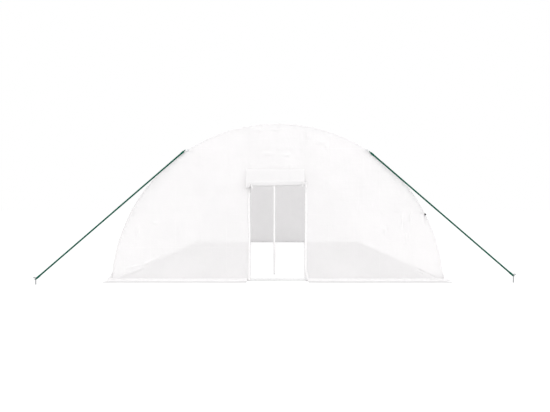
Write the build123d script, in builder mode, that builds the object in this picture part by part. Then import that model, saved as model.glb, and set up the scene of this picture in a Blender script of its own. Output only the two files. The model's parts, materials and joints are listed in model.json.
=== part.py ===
"""Polytunnel greenhouse: a film cover over six jointed steel hoops, with a roll-up front door.

Units are millimetres. +Z is up, the front end faces -Y and +X is to the right of someone
who looks at the front. The origin is on the ground at the middle of the tunnel.
"""

import os
from math import asin, cos, degrees, radians, sin, sqrt

from build123d import *

# Overall size of the tunnel, over the film
LENGTH = 10000
WIDTH = 6000
HEIGHT = 2850

# The hoops are arcs of one circle, whose centre lies below the ground
FILM = 4
OUTER_RADIUS = (WIDTH**2 / 4 + HEIGHT**2) / (2 * HEIGHT)
CENTRE_Z = HEIGHT - OUTER_RADIUS
INNER_RADIUS = OUTER_RADIUS - FILM

# Steel frame
HOOP_COUNT = 6
HOOP_TUBE = 32
HOOP_SEGMENTS = 8
SOCKET_WALL = 2
SOCKET_LENGTH = 90
JOINT_GAP = 1
PURLIN_TUBE = 25
UPPER_PURLIN_ANGLE = 58
LOWER_PURLIN_ANGLE = 28
CLAMP_WIDTH = 46
CLAMP_LENGTH = 60
CLAMP_WALL = 6
CLAMP_CLEARANCE = 0.2
RAIL = 40
RAIL_ROUND = 5
FOOT_PLATE = 5
FOOT_LENGTH = 90
POST_TUBE = 40

# Doorway in the front end
DOOR_WIDTH = 980
DOOR_TOP = 1740

# The front door's film, rolled up over the doorway and a little out of level
ROLL_RADIUS = 50
ROLL_LEFT = (-565, 1767)
ROLL_RIGHT = (484, 1787)
STRAP_X = -62
STRAP_OUT = 34
STRAP_TOP_WIDTH = 34
STRAP_TIP_WIDTH = 24
STRAP_THICKNESS = 3
STRAP_TIP = 130

# Loose hem of the cover, turned out over the ground
HEM_RISE = 45
HEM_BEND = 40
HEM_LEFT = 130
HEM_RIGHT = 170
HEM_END = 220

# Guy ropes at the four corners. The right-hand ones are pegged nearer to the end walls.
ROPE = 24
ROPE_ANGLE = 57.4
ROPE_RISE = 6
PEG_X = 4175
PEG_OUT_LEFT = 410
PEG_OUT_RIGHT = 185
PEG_ROD = 18
PEG_NECK_LEFT = 93
PEG_NECK_RIGHT = 121
PEG_HOOK = 21
PEG_TURN = 150
LINK_LENGTH = 72
LINK_WIDTH = 32
LINK_BAR = 6
LINK_TILT_LEFT = 0
LINK_TILT_RIGHT = 32
GROMMET = 17
GROMMET_THICKNESS = 3
STUB = 5
HOOK_OUT = 24
EYE_MINOR = 7
EYE_MAJOR = 15

# Knob on the right edge of the front end
KNOB_ANGLE = 27
KNOB_RADIUS = 16
KNOB_THICKNESS = 24

SOCKET_RADIUS = HOOP_TUBE / 2 + SOCKET_WALL
HOOP_RADIUS = INNER_RADIUS - SOCKET_RADIUS
END_HOOP_Y = LENGTH / 2 - FILM - SOCKET_RADIUS
PURLIN_RADIUS = HOOP_RADIUS - SOCKET_RADIUS - PURLIN_TUBE / 2
POST_X = DOOR_WIDTH / 2 + POST_TUBE / 2
POST_Y = -LENGTH / 2 + FILM + POST_TUBE / 2
RAIL_X = sqrt(INNER_RADIUS**2 - (RAIL - CENTRE_Z) ** 2) - RAIL / 2 - 1
HOOP_NAMES = ("hoop_front", "hoop_second", "hoop_third", "hoop_fourth", "hoop_fifth", "hoop_back")
HOOP_Y = [-END_HOOP_Y + n * 2 * END_HOOP_Y / (HOOP_COUNT - 1) for n in range(HOOP_COUNT)]

os.makedirs("parts", exist_ok=True)


def save(name, part):
    """Label one finished piece and write its file."""
    part.label = name
    export_step(part, f"parts/{name}.step")


def on_arch(radius, angle):
    """X and Z of the point at this radius, angle degrees up from the right-hand side."""
    return radius * cos(radians(angle)), CENTRE_Z + radius * sin(radians(angle))


def arch_axis(y):
    """The axis of the hoops' circle, about which a hoop rises from right to left."""
    return Axis((0, y, CENTRE_Z), (0, -1, 0))


def across_arch(radius, angle, y):
    """Plane square to the hoop's tube at this angle, with its X outwards."""
    x, z = on_arch(radius, angle)
    turn = radians(angle)
    return Plane(origin=(x, y, z), x_dir=(cos(turn), 0, sin(turn)), z_dir=(-sin(turn), 0, cos(turn)))


def end_plane(y):
    """Upright plane across the tunnel, drawn in X and Z, whose extrusions run towards +Y."""
    return Plane(origin=(0, y, 0), x_dir=(1, 0, 0), z_dir=(0, -1, 0))


def make_hoop(y):
    """One hoop: bent tubes, each with a widened socket at its lower right end, on two foot plates."""
    first = degrees(asin((RAIL + FOOT_PLATE - CENTRE_Z) / HOOP_RADIUS))
    step = (180 - 2 * first) / HOOP_SEGMENTS
    gap = degrees(JOINT_GAP / HOOP_RADIUS)
    socket = degrees(SOCKET_LENGTH / HOOP_RADIUS)
    with BuildPart() as hoop:
        for segment in range(HOOP_SEGMENTS):
            start = first + segment * step
            with BuildSketch(across_arch(HOOP_RADIUS, start, y)):
                Circle(HOOP_TUBE / 2)
            revolve(axis=arch_axis(y), revolution_arc=step - gap)
            if segment:
                with BuildSketch(across_arch(HOOP_RADIUS, start, y)):
                    Circle(SOCKET_RADIUS)
                revolve(axis=arch_axis(y), revolution_arc=socket)
        inward = 0
        if abs(y) == END_HOOP_Y:
            inward = -(FOOT_LENGTH - HOOP_TUBE) / 2 * (1 if y > 0 else -1)
        for side in (-1, 1):
            with BuildSketch(Plane.XY.offset(RAIL)):
                with Locations((side * RAIL_X, y + inward)):
                    RectangleRounded(RAIL, FOOT_LENGTH, RAIL_ROUND)
            extrude(amount=FOOT_PLATE)
    return hoop.part


def make_purlin(angle, cup):
    """A straight tube under the hoops, with saddle clamps that cup tubes of this radius from below."""
    x, z = on_arch(PURLIN_RADIUS, angle)
    inner_face = LENGTH / 2 - FILM - 1
    with BuildPart() as purlin:
        with BuildSketch(end_plane(-inner_face)):
            with Locations((x, z)):
                Circle(PURLIN_TUBE / 2)
        extrude(amount=-2 * inner_face)
        for y in HOOP_Y:
            low = max(y - CLAMP_LENGTH / 2, -inner_face)
            high = min(y + CLAMP_LENGTH / 2, inner_face)
            saddle = across_arch(PURLIN_RADIUS, angle, (low + high) / 2)
            with BuildSketch(saddle.offset(-CLAMP_WIDTH / 2)):
                with Locations((SOCKET_WALL + CLAMP_WALL / 2, 0)):
                    RectangleRounded(PURLIN_TUBE + 3 * CLAMP_WALL, high - low, CLAMP_WALL)
            extrude(amount=CLAMP_WIDTH)
            with BuildSketch(across_arch(HOOP_RADIUS, angle, y).offset(-CLAMP_WIDTH)):
                Circle(cup + CLAMP_CLEARANCE)
            extrude(amount=2 * CLAMP_WIDTH, mode=Mode.SUBTRACT)
    return purlin.part


def make_pair(single):
    """A piece of the right-hand side together with its mirror image on the left."""
    with BuildPart() as pair:
        add(single)
        mirror(about=Plane.YZ)
    return pair.part


def make_rail(side):
    """Square base tube along one side, under the hoops' feet."""
    run = LENGTH / 2 - FILM
    with BuildPart() as rail:
        with BuildSketch(end_plane(-run)):
            with Locations((side * RAIL_X, RAIL / 2)):
                RectangleRounded(RAIL, RAIL, RAIL_ROUND)
        extrude(amount=-2 * run)
    return rail.part


def make_sill(end):
    """Square base tube across one end. In the doorway it is the threshold."""
    reach = RAIL_X - RAIL / 2
    with BuildPart() as sill:
        with BuildSketch(Plane.YZ.offset(-reach)):
            with Locations((end * (LENGTH / 2 - FILM - RAIL / 2), RAIL / 2)):
                RectangleRounded(RAIL, RAIL, RAIL_ROUND)
        extrude(amount=2 * reach)
    return sill.part


def make_posts():
    """The two door posts, on foot plates and coped to the underside of the end hoop."""
    with BuildPart() as posts:
        with BuildSketch(Plane.XY.offset(RAIL)):
            with Locations((POST_X, POST_Y)):
                Circle(POST_TUBE / 2)
        extrude(amount=HEIGHT - RAIL)
        with BuildSketch(Plane.XY.offset(RAIL)):
            with Locations((POST_X, POST_Y)):
                RectangleRounded(2 * POST_TUBE, RAIL, RAIL_ROUND)
        extrude(amount=FOOT_PLATE)
        with BuildSketch(end_plane(POST_Y - POST_TUBE)):
            with Locations((0, CENTRE_Z)):
                Circle(OUTER_RADIUS + HEIGHT)
                Circle(HOOP_RADIUS - SOCKET_RADIUS, mode=Mode.SUBTRACT)
        extrude(amount=-2 * POST_TUBE, mode=Mode.SUBTRACT)
    return make_pair(posts.part)


def make_header():
    """The tube over the doorway, between the two posts."""
    with BuildPart() as header:
        with BuildSketch(Plane.YZ.offset(-DOOR_WIDTH / 2)):
            with Locations((POST_Y, DOOR_TOP + POST_TUBE / 2)):
                Circle(POST_TUBE / 2)
        extrude(amount=DOOR_WIDTH)
    return header.part


def make_cover_panel(start, size):
    """One lengthwise panel of the cover, from the front end to the back end."""
    with BuildPart() as panel:
        with BuildSketch(end_plane(-LENGTH / 2)):
            with BuildLine():
                outer = CenterArc((0, CENTRE_Z), OUTER_RADIUS, start, size)
                inner = CenterArc((0, CENTRE_Z), INNER_RADIUS, start, size)
                Line(outer @ 0, inner @ 0)
                Line(outer @ 1, inner @ 1)
            make_face()
        extrude(amount=-LENGTH)
    return panel.part


def make_wall(end, low_x, high_x, low_z):
    """Film of an end wall between two upright lines, from low_z up to the arch."""
    near_face = LENGTH / 2 - FILM if end > 0 else -LENGTH / 2
    width = high_x - low_x
    with BuildPart() as wall:
        with BuildSketch(end_plane(near_face)):
            with Locations((0, CENTRE_Z)):
                Circle(INNER_RADIUS)
            with Locations((low_x + width / 2, low_z + HEIGHT / 2)):
                Rectangle(width, HEIGHT, mode=Mode.INTERSECT)
        extrude(amount=-FILM)
    return wall.part


def make_door_roll():
    """The front door's film rolled up on the outside, over the doorway."""
    left = Vector(ROLL_LEFT[0], -LENGTH / 2 - ROLL_RADIUS, ROLL_LEFT[1])
    right = Vector(ROLL_RIGHT[0], -LENGTH / 2 - ROLL_RADIUS, ROLL_RIGHT[1])
    with BuildPart() as roll:
        with BuildSketch(Plane(origin=left, z_dir=right - left)):
            Circle(ROLL_RADIUS)
        extrude(amount=(right - left).length)
        fillet(roll.edges(), ROLL_RADIUS / 5)
    return roll.part


def make_strap():
    """Tie strap that hangs out of the roll's underside, narrower towards its tip."""
    middle = ROLL_LEFT[1] / 2
    with BuildPart() as strap:
        with BuildSketch(end_plane(-LENGTH / 2 - ROLL_RADIUS - STRAP_OUT - STRAP_THICKNESS)):
            with BuildLine():
                Polyline(
                    (STRAP_X - STRAP_TIP_WIDTH / 2, STRAP_TIP),
                    (STRAP_X + STRAP_TIP_WIDTH / 2, STRAP_TIP),
                    (STRAP_X + STRAP_TOP_WIDTH / 2, middle),
                    (STRAP_X + STRAP_TOP_WIDTH / 2, ROLL_LEFT[1]),
                    (STRAP_X - STRAP_TOP_WIDTH / 2, ROLL_LEFT[1]),
                    (STRAP_X - STRAP_TOP_WIDTH / 2, middle),
                    close=True,
                )
            make_face()
        extrude(amount=-STRAP_THICKNESS)
        add(make_door_roll(), mode=Mode.SUBTRACT)
    return strap.part


def hem_section(foot, reach):
    """The hem's section: down the foot of the film, round a bend and out over the ground."""
    with BuildSketch() as section:
        with BuildLine():
            under = FilletPolyline(
                (foot, HEM_RISE),
                (foot, 0),
                (foot + reach, 0),
                radius=HEM_BEND,
            )
            over = FilletPolyline(
                (foot + FILM, HEM_RISE),
                (foot + FILM, FILM),
                (foot + reach, FILM),
                radius=HEM_BEND - FILM,
            )
            Line(under @ 0, over @ 0)
            Line(under @ 1, over @ 1)
        make_face()
    return section.sketch


def make_side_hem(side, reach):
    """Loose hem along one side of the tunnel."""
    run = LENGTH / 2 - FILM
    facing = Plane(origin=(0, -run, 0), x_dir=(side, 0, 0), z_dir=(0, -side, 0))
    with BuildPart() as hem:
        with BuildSketch(facing):
            add(hem_section(WIDTH / 2 + 1, reach))
        extrude(amount=-2 * run * side)
    return hem.part


def make_end_hem(end, inside):
    """Loose hem across one end, from this far out to the corner on each side."""
    run = WIDTH / 2 - inside
    facing = Plane(origin=(inside, 0, 0), x_dir=(0, end, 0), z_dir=(end, 0, 0))
    with BuildPart() as hem:
        with BuildSketch(facing):
            add(hem_section(LENGTH / 2, HEM_END))
        extrude(amount=run * end)
    return make_pair(hem.part)


def hook_place(end, side):
    """Where one hook's bolt leaves the hoop, and which way its link points."""
    x, z = on_arch(HOOP_RADIUS + ROPE_RISE, ROPE_ANGLE)
    tilt = radians(LINK_TILT_RIGHT if side > 0 else LINK_TILT_LEFT)
    return Vector(side * x, end * (LENGTH / 2 + HOOK_OUT), z), Vector(side * cos(tilt), 0, -sin(tilt))


def rope_ends(end, side):
    """One rope's line: the middle of its link's outer bend, and its place on its peg."""
    bolt, reach = hook_place(end, side)
    peg_out = PEG_OUT_RIGHT if side > 0 else PEG_OUT_LEFT
    neck = PEG_NECK_RIGHT if side > 0 else PEG_NECK_LEFT
    foot = Vector(side * PEG_X, end * (LENGTH / 2 + peg_out), neck)
    return bolt + reach * (LINK_LENGTH - LINK_BAR - LINK_WIDTH / 2), foot


def make_hook(end, side):
    """The grommet, bolt and link on an end hoop that hold one rope."""
    bolt, reach = hook_place(end, side)
    middle = bolt + reach * (LINK_LENGTH / 2 - LINK_BAR)
    with BuildPart() as hook:
        with BuildSketch(end_plane(end * LENGTH / 2)):
            with Locations((bolt.X, bolt.Z)):
                Circle(GROMMET)
        extrude(amount=-end * GROMMET_THICKNESS)
        with BuildSketch(end_plane(end * LENGTH / 2)):
            with Locations((bolt.X, bolt.Z)):
                Circle(STUB)
        extrude(amount=-end * (HOOK_OUT + LINK_BAR))
        with BuildSketch(Plane(origin=middle, x_dir=reach, z_dir=(0, -1, 0))):
            SlotOverall(LINK_LENGTH, LINK_WIDTH)
            SlotOverall(LINK_LENGTH - 2 * LINK_BAR, LINK_WIDTH - 2 * LINK_BAR, mode=Mode.SUBTRACT)
        extrude(amount=LINK_BAR / 2, both=True)
    return hook.part


def make_rope(end, side):
    """One taut rope, from an eye seated in its link to an eye round its peg."""
    bend, foot = rope_ends(end, side)
    along = (foot - bend).normalized()
    sideways = along.cross(Vector(0, 1, 0)).normalized()
    pull = Vector(along.X, 0, along.Z).normalized()
    bar = LINK_BAR / 2
    lean = abs(along.Y)
    eye_rest = sqrt((EYE_MAJOR - EYE_MINOR) ** 2 - bar**2 * (1 - lean**2)) - bar * lean
    upper_eye = bend + pull * (LINK_WIDTH / 2 - LINK_BAR) + along * eye_rest
    rope_top = upper_eye + along * EYE_MAJOR
    straight = foot - along * (PEG_ROD / 2 + EYE_MINOR) - rope_top
    with BuildPart() as rope:
        with BuildSketch(Plane(origin=rope_top, z_dir=straight)):
            Circle(ROPE / 2)
        extrude(amount=straight.length)
        with BuildSketch(Plane.XY):
            with Locations((foot.X, foot.Y)):
                Circle(PEG_ROD / 2 + EYE_MINOR)
        extrude(amount=2 * foot.Z, mode=Mode.SUBTRACT)
        with BuildSketch(Plane(origin=upper_eye, x_dir=along, z_dir=along.cross(sideways))):
            with Locations((EYE_MAJOR, 0)):
                Circle(EYE_MINOR)
        revolve(axis=Axis(upper_eye, sideways))
        with BuildSketch(Plane(origin=foot, x_dir=(1, 0, 0), z_dir=(0, -1, 0))):
            with Locations((PEG_ROD / 2 + EYE_MINOR, 0)):
                Circle(EYE_MINOR)
        revolve(axis=Axis(foot, (0, 0, 1)))
    return rope.part


def make_peg(end, side):
    """The part above ground of one steel peg, bent over away from the tunnel."""
    foot = rope_ends(end, side)[1]
    neck = foot.Z + EYE_MINOR
    with BuildPart() as peg:
        with BuildLine(end_plane(foot.Y)) as route:
            Line((foot.X, 0), (foot.X, neck))
            CenterArc((foot.X + side * PEG_HOOK, neck), PEG_HOOK, 90 + side * 90, -side * PEG_TURN)
        with BuildSketch(Plane.XY):
            with Locations((foot.X, foot.Y)):
                Circle(PEG_ROD / 2)
        sweep(path=route.wires()[0])
    return peg.part


def make_corners(make, end):
    """The pieces of one kind at the left and right corners of an end."""
    with BuildPart() as corners:
        for side in (-1, 1):
            add(make(end, side))
    return corners.part


def make_knob():
    """Small round knob on the right edge of the front end."""
    x, z = on_arch(HOOP_RADIUS + KNOB_RADIUS / 2, KNOB_ANGLE)
    with BuildPart() as knob:
        with BuildSketch(Plane(origin=(x, -LENGTH / 2, z), z_dir=(0, -1, 0))):
            Circle(KNOB_RADIUS)
        extrude(amount=KNOB_THICKNESS)
        fillet(knob.edges().sort_by(Axis.Y)[0], KNOB_RADIUS / 4)
    return knob.part


for hoop_name, hoop_y in zip(HOOP_NAMES, HOOP_Y):
    save(hoop_name, make_hoop(hoop_y))

save("ridge_purlin", make_purlin(90, SOCKET_RADIUS))
save("upper_purlins", make_pair(make_purlin(UPPER_PURLIN_ANGLE, HOOP_TUBE / 2)))
save("lower_purlins", make_pair(make_purlin(LOWER_PURLIN_ANGLE, HOOP_TUBE / 2)))
save("rail_left", make_rail(-1))
save("rail_right", make_rail(1))

for end_name, end_side in (("front", -1), ("back", 1)):
    save(f"{end_name}_sill", make_sill(end_side))
    save(f"{end_name}_rope_hooks", make_corners(make_hook, end_side))
    save(f"{end_name}_ropes", make_corners(make_rope, end_side))
    save(f"{end_name}_pegs", make_corners(make_peg, end_side))

save("front_posts", make_posts())
save("front_header", make_header())
save("front_wall_left", make_wall(-1, -WIDTH / 2, -DOOR_WIDTH / 2, 0))
save("front_wall_right", make_wall(-1, DOOR_WIDTH / 2, WIDTH / 2, 0))
save("front_wall_over_door", make_wall(-1, -DOOR_WIDTH / 2, DOOR_WIDTH / 2, DOOR_TOP))
save("back_wall", make_wall(1, -WIDTH / 2, WIDTH / 2, 0))
save("front_hem", make_end_hem(-1, POST_X + POST_TUBE / 2))
save("back_hem", make_end_hem(1, 0))

panel_names = ("right_side", "right_haunch", "right_shoulder", "right_roof",
               "left_roof", "left_shoulder", "left_haunch", "left_side")
ground_angle = degrees(asin(-CENTRE_Z / OUTER_RADIUS))
panel_angle = (180 - 2 * ground_angle) / len(panel_names)
for number, panel_name in enumerate(panel_names):
    save(f"cover_{panel_name}", make_cover_panel(ground_angle + number * panel_angle, panel_angle))

save("hem_left", make_side_hem(-1, HEM_LEFT))
save("hem_right", make_side_hem(1, HEM_RIGHT))
save("front_door_roll", make_door_roll())
save("door_strap", make_strap())
save("side_knob", make_knob())
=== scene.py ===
"""Polytunnel greenhouse: the film, ropes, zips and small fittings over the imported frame.

Units are metres. +Z is up, the open doorway faces -Y and +X is to the right of someone who
looks at it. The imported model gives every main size, so the film follows its hoops.
"""

import json
from contextlib import contextmanager
from math import asin, ceil, cos, exp, hypot, pi, radians, sin, sqrt, tau

import bmesh
import bpy
from bpy.props import FloatProperty, FloatVectorProperty, IntProperty, PointerProperty
from mathutils import Matrix, Vector, noise


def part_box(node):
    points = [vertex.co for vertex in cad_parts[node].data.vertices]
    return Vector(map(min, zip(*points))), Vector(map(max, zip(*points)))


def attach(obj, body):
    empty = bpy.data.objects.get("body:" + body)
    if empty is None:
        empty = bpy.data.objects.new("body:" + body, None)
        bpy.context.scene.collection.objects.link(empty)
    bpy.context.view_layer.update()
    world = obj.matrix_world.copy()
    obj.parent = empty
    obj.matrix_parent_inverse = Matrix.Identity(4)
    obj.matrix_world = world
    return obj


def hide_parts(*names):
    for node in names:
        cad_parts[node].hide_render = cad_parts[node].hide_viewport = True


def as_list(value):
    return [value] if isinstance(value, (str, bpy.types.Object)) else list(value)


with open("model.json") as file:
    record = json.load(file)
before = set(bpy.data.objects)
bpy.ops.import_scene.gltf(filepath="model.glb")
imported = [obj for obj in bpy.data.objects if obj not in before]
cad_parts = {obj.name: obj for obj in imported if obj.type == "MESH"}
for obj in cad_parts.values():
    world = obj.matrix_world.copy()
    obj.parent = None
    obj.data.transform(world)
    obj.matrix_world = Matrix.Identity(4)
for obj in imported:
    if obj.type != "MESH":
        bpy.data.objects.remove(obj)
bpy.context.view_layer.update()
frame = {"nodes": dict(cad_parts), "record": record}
NODES = frame["nodes"]

bl_info = {
    "name": "Polytunnel greenhouse",
    "version": (1, 0, 0),
    "blender": (4, 5, 0),
    "location": "View3D > Sidebar > Polytunnel",
    "description": "Film cover, doors, ropes and fittings of a polytunnel greenhouse",
    "category": "Object",
}

# The arch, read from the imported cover
HALF_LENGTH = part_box("cover_right_roof")[1].y
HALF_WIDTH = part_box("cover_right_side")[1].x
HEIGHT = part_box("cover_right_roof")[1].z
ARCH_RADIUS = (HALF_WIDTH**2 + HEIGHT**2) / (2 * HEIGHT)
ARCH_CENTRE = HEIGHT - ARCH_RADIUS
GROUND_ANGLE = asin(-ARCH_CENTRE / ARCH_RADIUS)
ARC_LENGTH = ARCH_RADIUS * (pi - 2 * GROUND_ANGLE)
PANELS = 8

# The steel frame behind the film
FILM_STAND_IN = 0.004
MID_FILM = FILM_STAND_IN / 2
SOCKET_RADIUS = 0.018
HOOP_COUNT = 6
HOOP_RADIUS = ARCH_RADIUS - FILM_STAND_IN - SOCKET_RADIUS
HOOP_REACH = HALF_LENGTH - FILM_STAND_IN - SOCKET_RADIUS
BAY = 2 * HOOP_REACH / (HOOP_COUNT - 1)
HOOP_Y = [-HOOP_REACH + n * BAY for n in range(HOOP_COUNT)]
HOOP_SEGMENTS = 8
PURLIN_ANGLES = (28, 58, 90, 122, 152)
CLAMP_DROP = 0.0495
CLAMP_HALF = 0.03

# The guy ropes' hooks and pegs
ROPE_ANGLE = 57.4
ROPE_RISE = 0.006
HOOK_OUT = 0.024
LINK_LENGTH = 0.072
LINK_WIDTH = 0.032
LINK_BAR = 0.006
LINK_TILTS = {-1: 0, 1: 32}
PEG_X = 4.175
PEG_OUT = {-1: 0.410, 1: 0.185}
PEG_NECK = {-1: 0.093, 1: 0.121}
PEG_RADIUS = 0.009

# Small creases in the front wall: across, up, half length, slope in degrees, and 1 out or -1 in
TUCKS = (
    (-0.34, 2.73, 0.07, 0, 1),
    (-0.04, 2.73, 0.09, 0, 1),
    (-0.17, 2.30, 0.08, 0, 1),
    (0.17, 2.28, 0.05, 0, 1),
    (0.24, 2.02, 0.06, 90, 1),
    (0.80, 2.50, 0.06, 0, 1),
    (0.88, 2.44, 0.04, 90, 1),
    (0.54, 2.61, 0.05, 90, 1),
    (-2.52, 0.89, 0.07, 90, 1),
    (-2.22, 1.04, 0.04, 0, 1),
    (-2.62, 0.25, 0.10, 17, 1),
    (-2.56, 0.18, 0.10, 24, 1),
    (-2.76, 0.12, 0.10, 30, 1),
    (-2.30, 0.35, 0.12, 26, 1),
    (2.32, 0.79, 0.08, 90, 1),
    (2.24, 1.06, 0.10, 90, 1),
    (2.40, 1.15, 0.12, 90, 1),
    (1.93, 0.92, 0.05, 90, 1),
    (2.77, 0.094, 0.15, -25, -1),
    (2.57, 0.190, 0.08, -25, -1),
    (2.60, 0.130, 0.05, -25, -1),
)
TUCK_HEIGHT = 0.012
TUCK_HALF = 0.018

# How much higher the side hems leave the cover at the front corners
SKIRTS = {-1: 0.105, 1: 0.080}

# The film over an end, inside the cover's rounded edge
WALL_RADIUS = ARCH_RADIUS - SOCKET_RADIUS

# The front doorway, between the posts, and its top as a share of the arch's height beside it
DOOR_HALF = -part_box("front_header")[0].x
POST_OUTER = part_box("front_posts")[1].x
DOOR_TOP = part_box("front_header")[0].z
DOOR_SHARE = DOOR_TOP / (ARCH_CENTRE + sqrt(WALL_RADIUS**2 - DOOR_HALF**2))
SILL_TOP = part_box("front_sill")[1].z

# Film without a seam: a seam pitch wider than any piece
NO_SEAM = 10.0
FOLD_WIDTH = 0.007

# Sizes of the tapes
RIB_PITCH = 0.0022
PICK_PITCH = 0.0030
BAND_THICKNESS = 0.0012
TAPE_THICKNESS = 0.0014
STRAP_THICKNESS = 0.0016

# How far the zips stand inside the posts
ZIP_IN = 0.0025

# The roll: its core, the film that comes down from the wall over it, and its faces a turn
ROLL_CORE = 0.012
ROLL_FLAP = 0.24
ROLL_FACES = 26

# The hems: their gaps from the film and the ground, how far the end ones reach past their solids,
# the film's length that climbs the cover, and the places along them
HEM_GAP = 0.0015
HEM_GROUND = 0.002
HEM_PAST = 0.012
HEM_CLIMB = 0.02
HEM_STEP = 0.035

# The ropes: the places along them, the lay of their eyes and the gap before a whipping
ROPE_STEP = 0.0085
EYE_LAY = 0.05
WHIPPING_GAP = 0.004

# From a hoop's joint to its screw
SCREW_REACH = 0.045

# Sharper edges than this are bevelled and shaded apart
SHARP = radians(40)


def on_arch(radius, angle):
    """X and Z of the point at this radius, angle radians up from the right-hand side."""
    return radius * cos(angle), ARCH_CENTRE + radius * sin(angle)


def smooth(low, high, value):
    """0 below low, 1 above high and an even S between them."""
    t = min(max((value - low) / (high - low), 0), 1)
    return t * t * (3 - 2 * t)


def ruffle(a, b, seed):
    """Smooth noise from -1 to 1 at a place on a sheet."""
    return noise.noise(Vector((a, b, seed)))


def fold(a, b, seed):
    """Sharp-crested noise from 0 to 1, for creases."""
    return 1 - min(2.4 * abs(ruffle(a, b, seed)), 1)


class Wire:
    """A socket of a shader, so that shader maths reads as plain expressions."""

    def __init__(self, shader, socket):
        self.shader = shader
        self.socket = socket

    def math(self, operation, *values):
        """A Math node of these values."""
        return self.shader.node("ShaderNodeMath", {"operation": operation}, dict(enumerate(values)))

    def __add__(self, other):
        return self.math("ADD", self, other)

    def __radd__(self, other):
        return self.math("ADD", other, self)

    def __sub__(self, other):
        return self.math("SUBTRACT", self, other)

    def __rsub__(self, other):
        return self.math("SUBTRACT", other, self)

    def __mul__(self, other):
        return self.math("MULTIPLY", self, other)

    def __rmul__(self, other):
        return self.math("MULTIPLY", other, self)

    def __truediv__(self, other):
        return self.math("DIVIDE", self, other)

    def __abs__(self):
        return self.math("ABSOLUTE", self)

    def sine(self):
        """Sine of the value, in radians."""
        return self.math("SINE", self)

    def above(self, limit):
        """1 where the value is over a limit, and 0 elsewhere."""
        return self.math("GREATER_THAN", self, limit)

    def below(self, limit):
        """1 where the value is under a limit, and 0 elsewhere."""
        return self.math("LESS_THAN", self, limit)

    def fraction(self):
        """What is left over the next lower whole number."""
        return self.math("FRACT", self)

    def over(self, low, high):
        """0 below low, 1 above high and an even S between them."""
        sockets = {"Value": self, "From Min": low, "From Max": high}
        return self.shader.node("ShaderNodeMapRange", {"interpolation_type": "SMOOTHSTEP"}, sockets)


class Shader:
    """The nodes of a material or of the sky."""

    def __init__(self, owner):
        owner.use_nodes = True
        self.owner = owner
        self.tree = owner.node_tree
        self.tree.nodes.clear()

    def node(self, kind, settings, sockets, out=0):
        """Add a node, set it up, give its sockets values or wires, and return one output."""
        node = self.tree.nodes.new(kind)
        for name, value in settings.items():
            setattr(node, name, value)
        for name, value in sockets.items():
            if isinstance(value, Wire):
                self.tree.links.new(value.socket, node.inputs[name])
            else:
                node.inputs[name].default_value = value
        return Wire(self, node.outputs[out]) if node.outputs else node

    def flat(self):
        """Place on the flat sheet, in metres, from the piece's own UV map."""
        return self.node("ShaderNodeUVMap", {"uv_map": "flat"}, {})

    def place(self):
        """Place in the object, in metres."""
        return self.node("ShaderNodeTexCoord", {}, {}, "Object")

    def axis(self, vector, name):
        """One axis of a vector."""
        return self.node("ShaderNodeSeparateXYZ", {}, {0: vector}, name)

    def stretched(self, vector, scale):
        """A vector with each axis scaled."""
        return self.node("ShaderNodeVectorMath", {"operation": "MULTIPLY"}, {0: vector, 1: scale})

    def cloud(self, vector, scale, detail=2.0):
        """Smooth noise from 0 to 1."""
        sockets = {"Vector": vector, "Scale": scale, "Detail": detail}
        return self.node("ShaderNodeTexNoise", {}, sockets)

    def blend(self, low, high, factor):
        """A colour between two others."""
        low, high = (c if isinstance(c, Wire) else (*c, 1) for c in (low, high))
        return self.node("ShaderNodeMix", {"data_type": "RGBA"}, {0: factor, 6: low, 7: high}, 2)

    def relief(self, height, distance):
        """A normal from a height of 0 to 1 that stands this far out, in metres."""
        sockets = {"Strength": 1.0, "Distance": distance, "Height": height}
        return self.node("ShaderNodeBump", {}, sockets)

    def surface(self, **sockets):
        """A Principled shader."""
        named = {name.replace("_", " "): value for name, value in sockets.items()}
        return self.node("ShaderNodeBsdfPrincipled", {}, named)

    def mixed(self, factor, first, second):
        """Two shaders mixed."""
        return self.node("ShaderNodeMixShader", {}, {0: factor, 1: first, 2: second})

    def finish(self, shader):
        """Send a shader to the material's output and return the material."""
        self.node("ShaderNodeOutputMaterial", {}, {"Surface": shader})
        return self.owner


def new_shader(name):
    """The empty nodes of a new material."""
    return Shader(bpy.data.materials.new(name))


def toned(color, tone):
    """A colour with every channel multiplied."""
    return [tone * channel for channel in color]


def lines(place, pitch, width):
    """1 on lines this far apart along a wire's value, and 0 between them."""
    off = abs((place / pitch + 0.5).fraction() - 0.5) * pitch
    return 1 - off.over(width * 0.35, width)


def waves(place, pitch):
    """Even waves from -1 to 1, this far apart along a wire's value."""
    return (place * (tau / pitch)).sine()


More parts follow.
